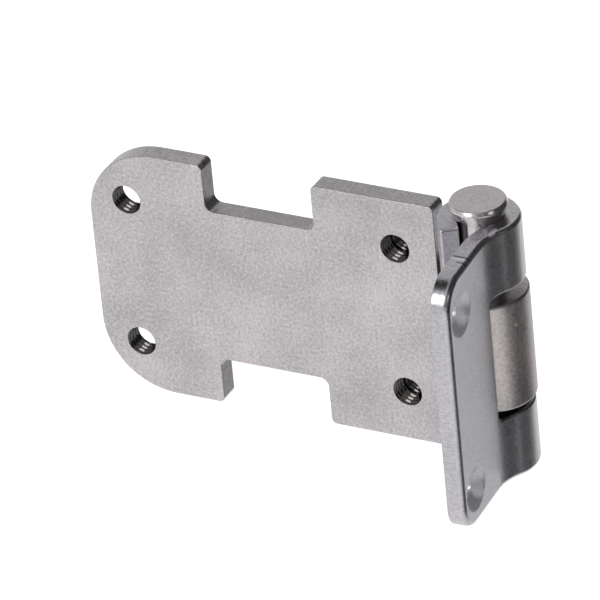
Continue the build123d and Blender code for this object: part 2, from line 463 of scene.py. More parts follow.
@dataclass
class Sheet:
    """A sheet of steel laid out flat, with its cut edges and holes, then bent along a path in plan."""

    name: str
    thickness: float
    path: SheetPath
    seat: Seat
    station_step: float = 0.35 * MM
    ruling_checks: int = 33
    walls: list[Wall] = field(default_factory=list)

    def _cap(self, column: int, first: list[int]) -> np.ndarray:
        """Fill one face of the sheet with triangles between the rims of its walls.

        Rulings, straight lines across the sheet at each station, keep the triangles on the bent form. A
        ruling counts where all its checks, evenly spaced along it, lie in the metal.

        Args:
            column: 0 for the show face, -1 for the back face.
            first: The number of each wall's first vertex in the mesh.

        Returns:
            The triangles, as vertex numbers of the mesh.
        """
        joined = [(w, start) for w, start in zip(self.walls, first) if column == 0 or not w.blind]
        rims = [wall.points[:, column, :2] for wall, _ in joined]
        flat = np.concatenate(rims)
        number = np.concatenate([wall.numbers(start)[:, column] for wall, start in joined])
        edges = []
        offset = 0
        for rim in rims:
            step = np.arange(len(rim))
            edges.append(np.stack([step, np.roll(step, -1)], axis=1) + offset)
            offset += len(rim)
        share = np.linspace(0.02, 0.98, self.ruling_checks)[None, :, None]
        for station in filter(self._is_curved, self.path.stations(self.station_step)):
            at = np.flatnonzero(np.abs(flat[: len(rims[0]), 0] - station) < SAME_STATION)
            at = at[np.argsort(flat[at, 1])]
            ends = np.stack([at[:-1], at[1:]], axis=1)
            spots = flat[ends[:, :1]] * (1.0 - share) + flat[ends[:, 1:]] * share
            metal = inside_loops(spots.reshape(-1, 2), rims).reshape(spots.shape[:2])
            edges.append(ends[metal.all(axis=1)])
        size = 1.0 / MM
        slack = 1e-6
        found = delaunay_2d_cdt(
            [Vector(p) for p in (flat * size).tolist()], np.concatenate(edges).tolist(), [], 0, slack
        )
        spots = np.array([v[:] for v in found[0]]) / size
        triangles = np.array(found[2])
        origin = np.array([o[0] if len(o) else -1 for o in found[3]])
        if (origin < 0).any():
            raise ValueError(f"{self.name}: a rim crosses itself near {spots[origin < 0][0]}")
        middle = spots[triangles].mean(axis=1)
        return number[origin[triangles[inside_loops(middle, rims)]]]

    def _is_curved(self, station: float) -> bool:
        """Tell whether the sheet is bent at or beside a station.

        Args:
            station: The distance along the path.

        Returns:
            True where a curved run holds it.
        """
        breaks = self.path.breaks()
        for index, (_, curvature) in enumerate(self.path.runs):
            if curvature and breaks[index] - SAME_PLACE <= station <= breaks[index + 1] + SAME_PLACE:
                return True
        return False

    def mesh(self) -> bpy.types.Mesh:
        """Build the closed mesh of the bent sheet, with exact normals and the masks of its finish.

        A flat point (s, z, w) goes to place(s) + w * left(s) in plan, at height z. Its normal keeps its
        part up, and its part along the sheet is divided by 1 - w * curvature, the stretch at that depth.

        Returns:
            The mesh, in the hinge's frame.
        """
        first = np.cumsum([0] + [wall.points[:, :, 0].size for wall in self.walls])[:-1].tolist()
        flat = np.concatenate([wall.points.reshape(-1, 3) for wall in self.walls])
        lean = np.concatenate([wall.normals.reshape(-1, 3) for wall in self.walls])
        placed = list(zip(self.walls, first))
        quads = [wall.quads(start) for wall, start in placed]
        caps = [self._cap(column, first) for column in (0, -1)]
        floors = [wall.numbers(start)[None, :, -1] for wall, start in placed if wall.blind]
        place, heading, curvature = self.path.follow(flat[:, 0])
        along = directions(heading)
        left = left_of(along)
        stretch = 1.0 - flat[:, 2] * curvature
        plan = place + left * flat[:, 2:3]
        tilt = along * (lean[:, :1] / stretch[:, None]) + left * lean[:, 2:3]
        turn = np.array(
            [
                [math.cos(self.seat.turn), -math.sin(self.seat.turn)],
                [math.sin(self.seat.turn), math.cos(self.seat.turn)],
            ]
        )
        points = np.column_stack([plan @ turn.T + np.asarray(self.seat.point), flat[:, 1]])
        normals = np.column_stack([tilt @ turn.T, lean[:, 1]])
        normals /= np.linalg.norm(normals, axis=1, keepdims=True)
        values = {"cut_edge": 1.0 - np.abs(lean[:, 2])}
        for key in ("thread", "sink"):
            grids = [np.full(wall.points.shape[:2], getattr(wall, key)) for wall in self.walls]
            for grid in grids:
                grid[:, 0] = 0.0
            values[key] = np.concatenate([grid.ravel() for grid in grids])
        return closed_mesh(self.name, points, normals, quads + caps + floors, values)


def closed_mesh(
    name: str,
    points: np.ndarray,
    normals: np.ndarray,
    faces: list[np.ndarray],
    attributes: dict[str, np.ndarray],
) -> bpy.types.Mesh:
    """Make a mesh whose faces look the way of their corner normals.

    Args:
        name: The name of the mesh.
        points: One row for each vertex.
        normals: The surface's own normal at each vertex.
        faces: Arrays of faces; each array holds faces with the same number of corners.
        attributes: Values for each vertex, by name.

    Returns:
        The mesh, shaded by the given normals.
    """
    polygons: list[list[int]] = []
    for group in faces:
        one, two, three = (points[group[:, k]] for k in (0, 1, 2))
        facing = np.cross(two - one, three - one)
        if group.shape[1] == 4:
            facing = np.cross(three - one, points[group[:, 3]] - two)
        wanted = normals[group].sum(axis=1)
        wrong = (facing * wanted).sum(axis=1) < 0.0
        turned = group.copy()
        turned[wrong] = group[wrong][:, ::-1]
        polygons.extend(turned.tolist())
    mesh = bpy.data.meshes.new(name)
    mesh.from_pydata(points.tolist(), [], polygons)
    mesh.shade_smooth()
    mesh.normals_split_custom_set_from_vertices(normals.tolist())
    for key, values in attributes.items():
        layer = mesh.attributes.new(key, "FLOAT", "POINT")
        layer.data.foreach_set("value", values.astype(np.float32))
    mesh.validate()
    return mesh


def turned_mesh(name: str, profile: Path2D, centre: tuple[float, float], segments: int) -> bpy.types.Mesh:
    """Turn a profile of (radius, height) about an upright axis into a closed solid of revolution.

    A point at angle a is the centre plus radius * (cos a, sin a), at its height. The first and the last
    point of the profile lie on the axis and become single poles.

    Args:
        name: The name of the mesh.
        profile: The profile from the lower pole to the upper one, with normals away from the metal.
        centre: The axis in plan.
        segments: How many steps a full turn has.

    Returns:
        The mesh.
    """
    ring = directions(circle(segments))
    radius, height = profile.points[1:-1].T
    lean, rise = profile.normals[1:-1].T
    rows = len(radius)
    points = with_third(np.asarray(centre) + ring * radius[:, None, None], height[:, None])
    normals = with_third(ring * lean[:, None, None], rise[:, None])
    number = np.arange(rows * segments).reshape(rows, segments)
    ahead = np.roll(number, -1, axis=1)
    quads = np.stack([number[:-1], ahead[:-1], ahead[1:], number[1:]], axis=2).reshape(-1, 4)
    low, high = rows * segments, rows * segments + 1
    foot = np.stack([ahead[0], number[0], np.full(segments, low)], axis=1)
    top = np.stack([number[-1], ahead[-1], np.full(segments, high)], axis=1)
    poles = [[*centre, profile.points[0, 1]], [*centre, profile.points[-1, 1]]]
    all_points = np.concatenate([points.reshape(-1, 3), poles])
    all_normals = np.concatenate([normals.reshape(-1, 3), [[0.0, 0.0, -1.0], [0.0, 0.0, 1.0]]])
    edge = 1.0 - np.abs(all_normals[:, 2])
    flat = np.zeros(len(edge))
    values = {"cut_edge": edge, "thread": flat, "sink": flat}
    return closed_mesh(name, all_points, all_normals, [quads, foot, top], values)


Value = Union["Wire", float, tuple[float, ...]]


class Wire:
    """A shader value, with arithmetic that adds the Math nodes it needs."""

    def __init__(self, shader: "Shader", socket: bpy.types.NodeSocket) -> None:
        """Hold the socket that gives the value and the shader it belongs to."""
        self.shader = shader
        self.socket = socket

    def _math(self, operation: str, *values: Value, clamp: bool = False) -> "Wire":
        """Add one Math node on these values.

        Args:
            operation: What the node works out.
            values: Its inputs, in order.
            clamp: Whether the result is held between 0 and 1.

        Returns:
            The result.
        """
        return self.shader.node(
            "ShaderNodeMath", {"operation": operation, "use_clamp": clamp}, dict(enumerate(values))
        )

    def __add__(self, other: Value) -> "Wire":
        """Return self + other."""
        return self._math("ADD", self, other)

    def __radd__(self, other: Value) -> "Wire":
        """Return other + self."""
        return self._math("ADD", other, self)

    def __sub__(self, other: Value) -> "Wire":
        """Return self - other."""
        return self._math("SUBTRACT", self, other)

    def __rsub__(self, other: Value) -> "Wire":
        """Return other - self."""
        return self._math("SUBTRACT", other, self)

    def __mul__(self, other: Value) -> "Wire":
        """Return self * other."""
        return self._math("MULTIPLY", self, other)

    def __rmul__(self, other: Value) -> "Wire":
        """Return other * self."""
        return self._math("MULTIPLY", other, self)

    def clamped(self) -> "Wire":
        """Return the value held between 0 and 1."""
        return self._math("ADD", self, 0.0, clamp=True)

    def ramp(self, low: float, high: float) -> "Wire":
        """Step smoothly from 0 to 1 as the value goes from low to high.

        Args:
            low: The value that gives 0.
            high: The value that gives 1; it may be under low.

        Returns:
            The stepped value.
        """
        return self.shader.node(
            "ShaderNodeMapRange",
            {"interpolation_type": "SMOOTHSTEP"},
            {"Value": self, "From Min": low, "From Max": high},
        )

    def maximum(self, other: Value) -> "Wire":
        """Return the larger of two values."""
        return self._math("MAXIMUM", self, other)


class Shader:
    """The node tree of a material or of the world."""

    def __init__(self, owner: bpy.types.Material | bpy.types.World) -> None:
        """Switch the owner's nodes on and find its surface shader.

        Args:
            owner: The material or world that is shaded.
        """
        owner.use_nodes = True
        self.owner = owner
        self.tree = owner.node_tree
        self.surface = self.tree.nodes.get("Principled BSDF") or self.tree.nodes["Background"]

    def node(
        self,
        kind: str,
        settings: dict[str, Any] | None = None,
        inputs: dict[Any, Value] | None = None,
        output: Any = 0,
    ) -> Wire:
        """Add a node.

        Args:
            kind: Its type name.
            settings: Its own properties, which are set first.
            inputs: Values or links for its sockets, by name or number.
            output: The output that the returned wire carries.

        Returns:
            The wire of that output.
        """
        made = self.tree.nodes.new(kind)
        for key, value in (settings or {}).items():
            setattr(made, key, value)
        for key, value in (inputs or {}).items():
            self.feed(made.inputs[key], value)
        return Wire(self, made.outputs[output])

    def feed(self, socket: bpy.types.NodeSocket, value: Value) -> None:
        """Link a wire to a socket, or set the socket's own value.

        Args:
            socket: The input.
            value: A wire, a number or a colour.
        """
        if isinstance(value, Wire):
            self.tree.links.new(value.socket, socket)
        else:
            socket.default_value = value

    def place(self) -> Wire:
        """Return the place on the piece, in metres in the hinge's frame."""
        return self.node("ShaderNodeTexCoord", output="Object")

    def attribute(self, name: str) -> Wire:
        """Return a value that the mesh carries at each vertex."""
        return self.node("ShaderNodeAttribute", {"attribute_name": name}, output="Fac")

    def near(self, spot: tuple[float, float, float], reach: tuple[float, float, float]) -> Wire:
        """Measure the distance from a spot, in shares of its reach.

        Args:
            spot: The middle of the spot, in metres.
            reach: How far it reaches along each axis, in metres.

        Returns:
            The distance, 1 at the reach.
        """
        scale = tuple(1.0 / r for r in reach)
        shift = tuple(-c / r for c, r in zip(spot, reach))
        inputs = {"Vector": self.place(), "Location": shift, "Scale": scale}
        moved = self.node("ShaderNodeMapping", {}, inputs)
        return self.node("ShaderNodeVectorMath", {"operation": "LENGTH"}, {0: moved}, output="Value")

    def noise(
        self,
        grain: float,
        detail: float = 3.0,
        rough: float = 0.5,
        stretch: tuple[float, float, float] = (1.0, 1.0, 1.0),
    ) -> Wire:
        """Return noise from 0 to 1 whose blotches are about grain metres across.

        Args:
            grain: The size of a blotch, in metres.
            detail: How many finer layers are added.
            rough: How strong the finer layers are.
            stretch: How many times finer the pattern is along each axis.

        Returns:
            The noise value.
        """
        where = self.node("ShaderNodeMapping", {}, {"Vector": self.place(), "Scale": stretch})
        return self.node(
            "ShaderNodeTexNoise",
            {},
            {"Vector": where, "Scale": 1.0 / grain, "Detail": detail, "Roughness": rough},
        )

    def total(self, wires: list[Wire]) -> Value:
        """Add up some wires; the sum of none is 0.

        Args:
            wires: The values to add.

        Returns:
            The sum.
        """
        result: Value = 0.0
        for wire in wires:
            result = wire + result
        return result

    def blend(self, share: Value, one: Value, two: Value, kind: str = "MIX") -> Wire:
        """Mix two colours.

        Args:
            share: Where the second colour shows, 0 to 1.
            one: The first colour.
            two: The second colour.
            kind: MIX for the second colour itself, MULTIPLY for the product of both.

        Returns:
            The mixed colour.
        """
        settings = {"data_type": "RGBA", "blend_type": kind}
        inputs = {MIX_SHARE: share, MIX_ONE: one, MIX_TWO: two}
        return self.node("ShaderNodeMix", settings, inputs, output=MIX_COLOUR)

    def tinted(self, colour: Value, share: Value, tint: tuple[float, float, float]) -> Wire:
        """Return the colour itself where share is 0 and times the tint where it is 1."""
        return self.blend(share, colour, (*tint, 1.0), kind="MULTIPLY")

    def bump(self, height: Value, distance: float, strength: float) -> Wire:
        """Return a normal raised by height, where 1 stands for distance metres."""
        inputs = {"Height": height, "Distance": distance, "Strength": strength}
        return self.node("ShaderNodeBump", {}, inputs)


class Mark(Enum):
    """What a small mark on the steel does to it."""

    # A burnished spot: lower roughness, and a paler colour that is a painted highlight
    BURNISH_AND_HIGHLIGHT = "burnish_and_highlight"
    STAIN = "stain"
    DENT = "dent"
    # Painted shade: the near-black shade colour where shade or a dark reflection falls
    PAINTED_SHADE = "painted_shade"
    # Painted highlight: a pale, less metallic patch where a highlight falls
    PAINTED_HIGHLIGHT = "painted_highlight"


@dataclass(frozen=True)
class Spot:
    """A small oval or ring-shaped mark on the steel.

    Its place and its reach along each axis are in millimetres. The width of its ring, where it has one,
    and its soft edge are shares of the reach.
    """

    mark: Mark
    place: tuple[float, float, float]
    reach: tuple[float, float, float]
    strength: float = 1.0
    ring: float = 0.0
    outer_edge: float = 1.25
    inner_edge: float = 0.6
    solid_ring: float = 0.3

    def mask(self, shader: Shader) -> Wire:
        """Draw the mark, 0 away from it.

        Args:
            shader: The shader that needs the mask.

        Returns:
            The mask, at most the strength of the mark.
        """
        place, reach = (tuple(v * MM for v in lengths) for lengths in (self.place, self.reach))
        away = shader.near(place, reach)
        if self.ring:
            band = shader.node("ShaderNodeMath", {"operation": "ABSOLUTE"}, {0: away - 1.0})
            return band.ramp(self.ring, self.ring * self.solid_ring) * self.strength
        return away.ramp(self.outer_edge, self.inner_edge) * self.strength


@dataclass(frozen=True)
class SteelMasks:
    """What a steel finish is worked out from: noises, places on the piece and marks, each 0 to 1."""

    fine: Wire
    broad: Wire
    streaks: Wire
    rim: Wire
    thread: Wire
    sink: Wire
    plain: Wire
    wall: Wire
    marks: dict[Mark, Value]


@dataclass(frozen=True)
class TumbledSteel:
    """Bare steel, tumbled to a satin grey: mottled grain, a painted dark reflection along the rims and
    painted shade in the threads.
    """

    name: str
    tone: float = 0.58
    tint: tuple[float, float, float] = (1.01, 0.978, 1.0)
    pale: float = 1.24
    deep: float = 0.74
    warm: tuple[float, float, float] = (1.0, 0.975, 0.965)
    cloudy: tuple[float, float, float] = (1.0, 0.978, 0.97)
    cool: tuple[float, float, float] = (0.975, 0.98, 1.0)
    # Near-black colour of painted shade: inside the threads and under the shade marks
    shade_colour: tuple[float, float, float, float] = (0.03, 0.028, 0.022, 1.0)
    roughness: float = 0.36
    wall_roughness: float = 0.36
    least_roughness: float = 0.12
    grain_size: float = 0.55 * MM
    cloud_size: float = 14.0 * MM
    hue_size: float = 0.9 * MM
    pit_size: float = 0.28 * MM
    streak_size: float = 0.35 * MM
    mottle: float = 3.6
    clouds: float = 1.3
    contrast: float = 1.0
    shear: tuple[float, float, float] = (1.0, 0.2, 1.0)
    relief: float = 0.7
    relief_height: float = 0.045 * MM
    spots: tuple[Spot, ...] = ()

    def material(self) -> bpy.types.Material:
        """Build the finish: colour, metal, roughness and relief, worked out from the same masks.

        Returns:
            The material.
        """
        shader = Shader(bpy.data.materials.new(self.name))
        masks = self._masks(shader)
        # Painted highlights are less metallic, so that their pale colour shows
        metal = (1.0 - masks.sink * 0.5 - masks.marks[Mark.PAINTED_HIGHLIGHT] * 0.7).maximum(0.0)
        relief = masks.fine * (1.0 - masks.thread * 0.8) * 0.7 + masks.streaks * masks.wall * 0.5
        relief = relief - masks.marks[Mark.DENT] * 1.2
        results = {
            "Base Color": self._colour(shader, masks),
            "Metallic": metal,
            "Roughness": self._roughness(masks),
            "Normal": shader.bump(relief, self.relief_height, self.relief),
        }
        for name, result in results.items():
            shader.feed(shader.surface.inputs[name], result)
        return shader.owner

    def _masks(self, shader: Shader) -> SteelMasks:
        """Draw the noises and read the places and marks of the finish.

        Args:
            shader: The shader of the finish.

        Returns:
            The masks; plain is the metal outside threads and countersinks, and wall is its cut edge.
        """
        rim, thread, sink = (shader.attribute(key) for key in ("cut_edge", "thread", "sink"))
        plain = 1.0 - (thread + sink).clamped()
        return SteelMasks(
            fine=shader.noise(self.grain_size, detail=6.0, rough=0.8),
            broad=shader.noise(self.cloud_size, detail=4.0, rough=0.6),
            streaks=shader.noise(self.streak_size, detail=3.0, stretch=self.shear),
            rim=rim,
            thread=thread,
            sink=sink,
            plain=plain,
            wall=rim.ramp(0.9, 0.98) * plain,
            marks={mark: self._drawn(shader, mark) for mark in Mark},
        )

    def _drawn(self, shader: Shader, mark: Mark) -> Value:
        """Return the sum of the masks of all spots of one kind."""
        return shader.total([spot.mask(shader) for spot in self.spots if spot.mark is mark])

    def _colour(self, shader: Shader, masks: SteelMasks) -> Wire:
        """Mix the colour from a deep and a pale shade, then tint it and paint shade into the threads and the
        shade marks.

        The level between the shades adds up the grain, the broad clouds, the streaks of the cut edge,
        a painted dark reflection along the rim's round-over, the pits and the marks. A noise of its own
        shifts it to a warm or a cool tint.

        Args:
            shader: The shader of the finish.
            masks: Its masks.

        Returns:
            The colour.
        """
        level = 0.5 + (masks.fine - 0.5) * (self.mottle * self.contrast)
        level = level + (masks.broad - 0.5) * (self.clouds * self.contrast)
        level = level + masks.wall * ((masks.streaks - 0.5) * 1.1 - 0.12)
        # Painted dark reflection along the round-over next to each face, mottled by the clouds
        painted_rim_reflection = masks.rim.ramp(0.02, 0.16) * masks.rim.ramp(0.62, 0.3) * masks.plain
        pits = shader.noise(self.pit_size, detail=1.0).ramp(0.68, 0.8)
        level = level - painted_rim_reflection * (0.1 + masks.broad * 0.5) - pits * 0.1
        # Painted highlights, and the paler colour of burnished spots
        painted_highlight_level = masks.marks[Mark.BURNISH_AND_HIGHLIGHT] * 0.35 + masks.marks[Mark.PAINTED_HIGHLIGHT]
        level = (level - masks.marks[Mark.STAIN] * 0.7 + painted_highlight_level - masks.sink * 0.05).clamped()

        pale = tuple(min(self.tone * self.pale * k, 1.0) for k in self.tint) + (1.0,)
        deep = tuple(self.tone * self.deep * k for k in self.tint) + (1.0,)
        hue = shader.noise(self.hue_size, detail=3.0, rough=0.6)
        steel = shader.blend(level, deep, pale)
        steel = shader.tinted(steel, hue.ramp(0.38, 0.68) * (1.0 - masks.thread), self.warm)
        steel = shader.tinted(steel, masks.broad.ramp(0.44, 0.66), self.cloudy)
        steel = shader.tinted(steel, hue.ramp(0.56, 0.36), self.cool)
        # Painted shade: the threads' insides and the shade marks go near-black
        shade_share = (masks.thread * 0.86).maximum(masks.marks[Mark.PAINTED_SHADE] * 0.9)
        return shader.blend(shade_share, steel, self.shade_colour)

    def _roughness(self, masks: SteelMasks) -> Wire:
        """Add grain and clouds to the roughness; cut edges have their own, burnished spots and threads less.

        Args:
            masks: The masks of the finish.

        Returns:
            The roughness.
        """
        rough = self.roughness + masks.rim * (self.wall_roughness - self.roughness)
        rough = rough + (masks.fine - 0.5) * (0.3 * self.contrast) + (masks.broad - 0.5) * 0.1
        rough = rough - masks.marks[Mark.BURNISH_AND_HIGHLIGHT] * 0.2
        return (rough - masks.thread * 0.25 + masks.sink * 0.05).maximum(self.least_roughness)


@dataclass
class HingeFrame:
    """Places of the hinge that come from the CAD model, and the hole pattern that two pieces share."""

    far_x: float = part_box("mounting_plate")[0].x
    near_x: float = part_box("mounting_plate")[1].x
    plate_top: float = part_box("mounting_plate")[1].z
    plate_thickness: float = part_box("mounting_plate")[1].y
    pin_x: float = (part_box("hinge_pin")[0].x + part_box("hinge_pin")[1].x) / 2.0
    pin_y: float = (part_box("hinge_pin")[0].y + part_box("hinge_pin")[1].y) / 2.0
    leaf_top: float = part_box("screw_leaf")[1].z
    leaf_bottom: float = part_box("screw_leaf")[0].z
    head_top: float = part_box("hinge_pin")[1].z
    strap_back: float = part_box("knuckle_strap")[1].y
    strap_top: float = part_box("knuckle_strap")[1].z
    hole_spacing_x: float = 52.7 * MM
    hole_spacing_z: float = 29.1 * MM


def show(mesh: bpy.types.Mesh, side: Side, node: str, finish: TumbledSteel) -> bpy.types.Object:
    """Put a mesh into the scene in place of its CAD node.

    Args:
        mesh: The finished mesh, in the hinge's frame.
        side: The body that it rides on.
        node: The CAD node that it stands for.
        finish: Its steel.

    Returns:
        The piece.
    """
    piece = bpy.data.objects.new(mesh.name, mesh)
    bpy.context.scene.collection.objects.link(piece)
    mesh.materials.append(finish.material())
    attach(piece, side.value)
    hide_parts(node)
    log.info("%s: %d faces", piece.name, len(mesh.polygons))
    return piece


@dataclass
class MountingPlate:
    """The flat plate: two far round corners, a notch above and below, four tapped holes."""

    at: HingeFrame
    far_corner: float = 13.5 * MM
    near_corner: float = 1.0 * MM
    notch_width: float = 21.3 * MM
    notch_depth: float = 9.1 * MM
    notch_floor: float = 1.6 * MM
    notch_mouth: float = 1.1 * MM
    rim: CutEdge = CutEdge(show_round=0.2 * MM, back_round=0.2 * MM)

    def outline(self) -> Path2D:
        """Lay out the plate, counter-clockwise from its lower far corner, along from its far edge.

        Returns:
            The outline.
        """
        width = self.at.near_x - self.at.far_x
        top = self.at.plate_top
        floor = top - self.notch_depth
        left = -self.at.far_x - self.notch_width / 2.0
        right = left + self.notch_width
        corners = [
            (0.0, -top), (left, -top), (left, -floor), (right, -floor), (right, -top), (width, -top),
            (width, top), (right, top), (right, floor), (left, floor), (left, top), (0.0, top),
        ]
        notch = [self.notch_mouth, self.notch_floor, self.notch_floor, self.notch_mouth]
        radii = [self.far_corner, *notch, self.near_corner, self.near_corner, *notch, self.far_corner]
        return rounded_path(corners, radii)

    def finish(self) -> TumbledSteel:
        """Stain the plate's steel at its upper notch, and paint a highlight on a burnished spot of the top
        front edge beside it.

        Returns:
            The finish.
        """
        top = self.at.plate_top / MM
        floor = top - self.notch_depth / MM
        notch_x = -10.9
        marks = (
            Spot(Mark.STAIN, (notch_x, 2.0, top), (0.7, 0.9, 0.5)),
            Spot(Mark.STAIN, (notch_x, 3.6, floor), (0.6, 0.6, 0.7)),
            # Burnished spot on the top front edge, with a painted highlight
            Spot(Mark.BURNISH_AND_HIGHLIGHT, (notch_x - 0.8, 0.0, top - 0.2), (0.8, 0.4, 0.5)),
            Spot(Mark.STAIN, (0.0, 2.0, floor), (12.0, 3.0, 0.5), 0.45),
        )
        return TumbledSteel("plate_finish", tone=0.55, contrast=1.25, spots=marks)

    def build(self) -> bpy.types.Object:
        """Build and place the plate, whose near holes open on to the strap's without a cone.

        Returns:
            The piece.
        """
        at = self.at
        path = SheetPath((at.far_x, 0.0), 0.0, [(at.near_x - at.far_x, 0.0)])
        sheet = Sheet("plate_body", at.plate_thickness, path, Seat((0.0, 0.0)))
        sheet.walls.append(self.rim.wall(self.outline(), sheet.thickness))
        thread = TappedHole()
        for column in (-1, 1):
            behind = column > 0
            for row in (-1, 1):
                centre = (column * at.hole_spacing_x / 2.0 - at.far_x, row * at.hole_spacing_z / 2.0)
                sheet.walls.append(thread.wall(centre, sheet.thickness, cone_at_back=not behind))
        return show(sheet.mesh(), Side.PLATE, "mounting_plate", self.finish())


@dataclass
class KnuckleStrap:
    """The strap on the plate's back, which narrows to the middle knuckle round the pin."""

    at: HingeFrame
    thickness: float = 3.7 * MM
    wrap: float = math.radians(275.0)
    pad_width: float = 21.0 * MM
    pad_setback: float = 0.85 * MM
    pad_corner: float = 2.5 * MM
    throat: float = 2.0 * MM
    end_corner: float = 0.7 * MM
    knuckle_top: float = 10.35 * MM
    knuckle_bottom: float = -10.85 * MM
    weld_radius: float = 2.5 * MM
    weld_depth: float = 0.25 * MM
    weld_lip: float = 0.12 * MM
    weld_floor: float = 0.2 * MM
    weld_spacing: tuple[float, float] = (12.0 * MM, 10.0 * MM)
    rim: CutEdge = CutEdge(show_round=0.5 * MM, back_round=0.15 * MM)

    def weld_mark(self) -> TurnedHole:
        """Shape the shallow round dish that a welding electrode leaves on the show face.

        Returns:
            The dish.
        """
        radius, depth = self.weld_radius, self.weld_depth
        lip, floor = self.weld_lip, self.weld_floor
        corners = [(radius + lip, 0.0), (radius, 0.0), (radius, depth), (radius - floor, depth)]
        return TurnedHole(corners, [0.0, lip / 2.0, floor / 2.0, 0.0], blind=True)

    def finish(self) -> TumbledSteel:
        """Paint a small highlight on the strap's knuckle, and paint shade on its upper end under the leaf's
        knuckle.

        Returns:
            The finish.
        """
        marks = (
            # Painted highlight on the knuckle
            Spot(Mark.PAINTED_HIGHLIGHT, (50.43, -3.21, 5.67), (0.5, 0.35, 0.4), 0.4),
            # Painted shade on the knuckle's top face, in the gap under the leaf's knuckle
            Spot(Mark.PAINTED_SHADE, (42.35, -4.05, self.knuckle_top / MM), (5.5, 4.2, 0.45)),
        )
        tint = (1.03, 0.978, 0.966)
        return TumbledSteel("strap_finish", tone=0.5, tint=tint, contrast=1.2, spots=marks)

    def build(self) -> bpy.types.Object:
        """Build and place the strap; its sheet is laid out from the end of its curl.

        Returns:
            The piece.
        """
        outer = self.at.strap_back - self.at.pin_y
        curl = outer * self.wrap
        pad_near = self.at.near_x - self.pad_setback
        to_pad = curl + self.at.pin_x - pad_near
        end = math.pi / 2.0 - self.wrap
        path = SheetPath(
            (outer * math.cos(end), outer * math.sin(end)),
            end + math.pi / 2.0,
            [(curl, 1.0 / outer), (to_pad + self.pad_width - curl, 0.0)],
        )
        sheet = Sheet("strap_body", self.thickness, path, Seat((self.at.pin_x, self.at.pin_y)))
        far = to_pad + self.pad_width
        top, bottom = self.at.strap_top, -self.at.strap_top
        corners = [
            (0.0, self.knuckle_bottom), (to_pad, self.knuckle_bottom), (to_pad, bottom), (far, bottom),
            (far, top), (to_pad, top), (to_pad, self.knuckle_top), (0.0, self.knuckle_top),
        ]
        end_r, throat, pad = self.end_corner, self.throat, self.pad_corner
        radii = [end_r, throat, pad, pad, pad, pad, throat, end_r]
        outline = rounded_path(corners, radii, stations=path.stations(sheet.station_step))
        sheet.walls.append(self.rim.wall(outline, sheet.thickness))
        thread = TappedHole()
        total = self.at.plate_thickness + self.thickness
        along = to_pad + pad_near - self.at.hole_spacing_x / 2.0
        for row in (-1, 1):
            centre = (along, row * self.at.hole_spacing_z / 2.0)
            sheet.walls.append(
                thread.wall(centre, self.thickness, first_depth=total, downward=-1.0, cone_at_back=False)
            )
        mark = self.weld_mark()
        for column in (-0.5, 0.5):
            for row in (-0.5, 0.5):
                along = to_pad + self.pad_width / 2.0 + column * self.weld_spacing[0]
                sheet.walls.append(mark.wall((along, row * self.weld_spacing[1])))
        return show(sheet.mesh(), Side.PLATE, "knuckle_strap", self.finish())


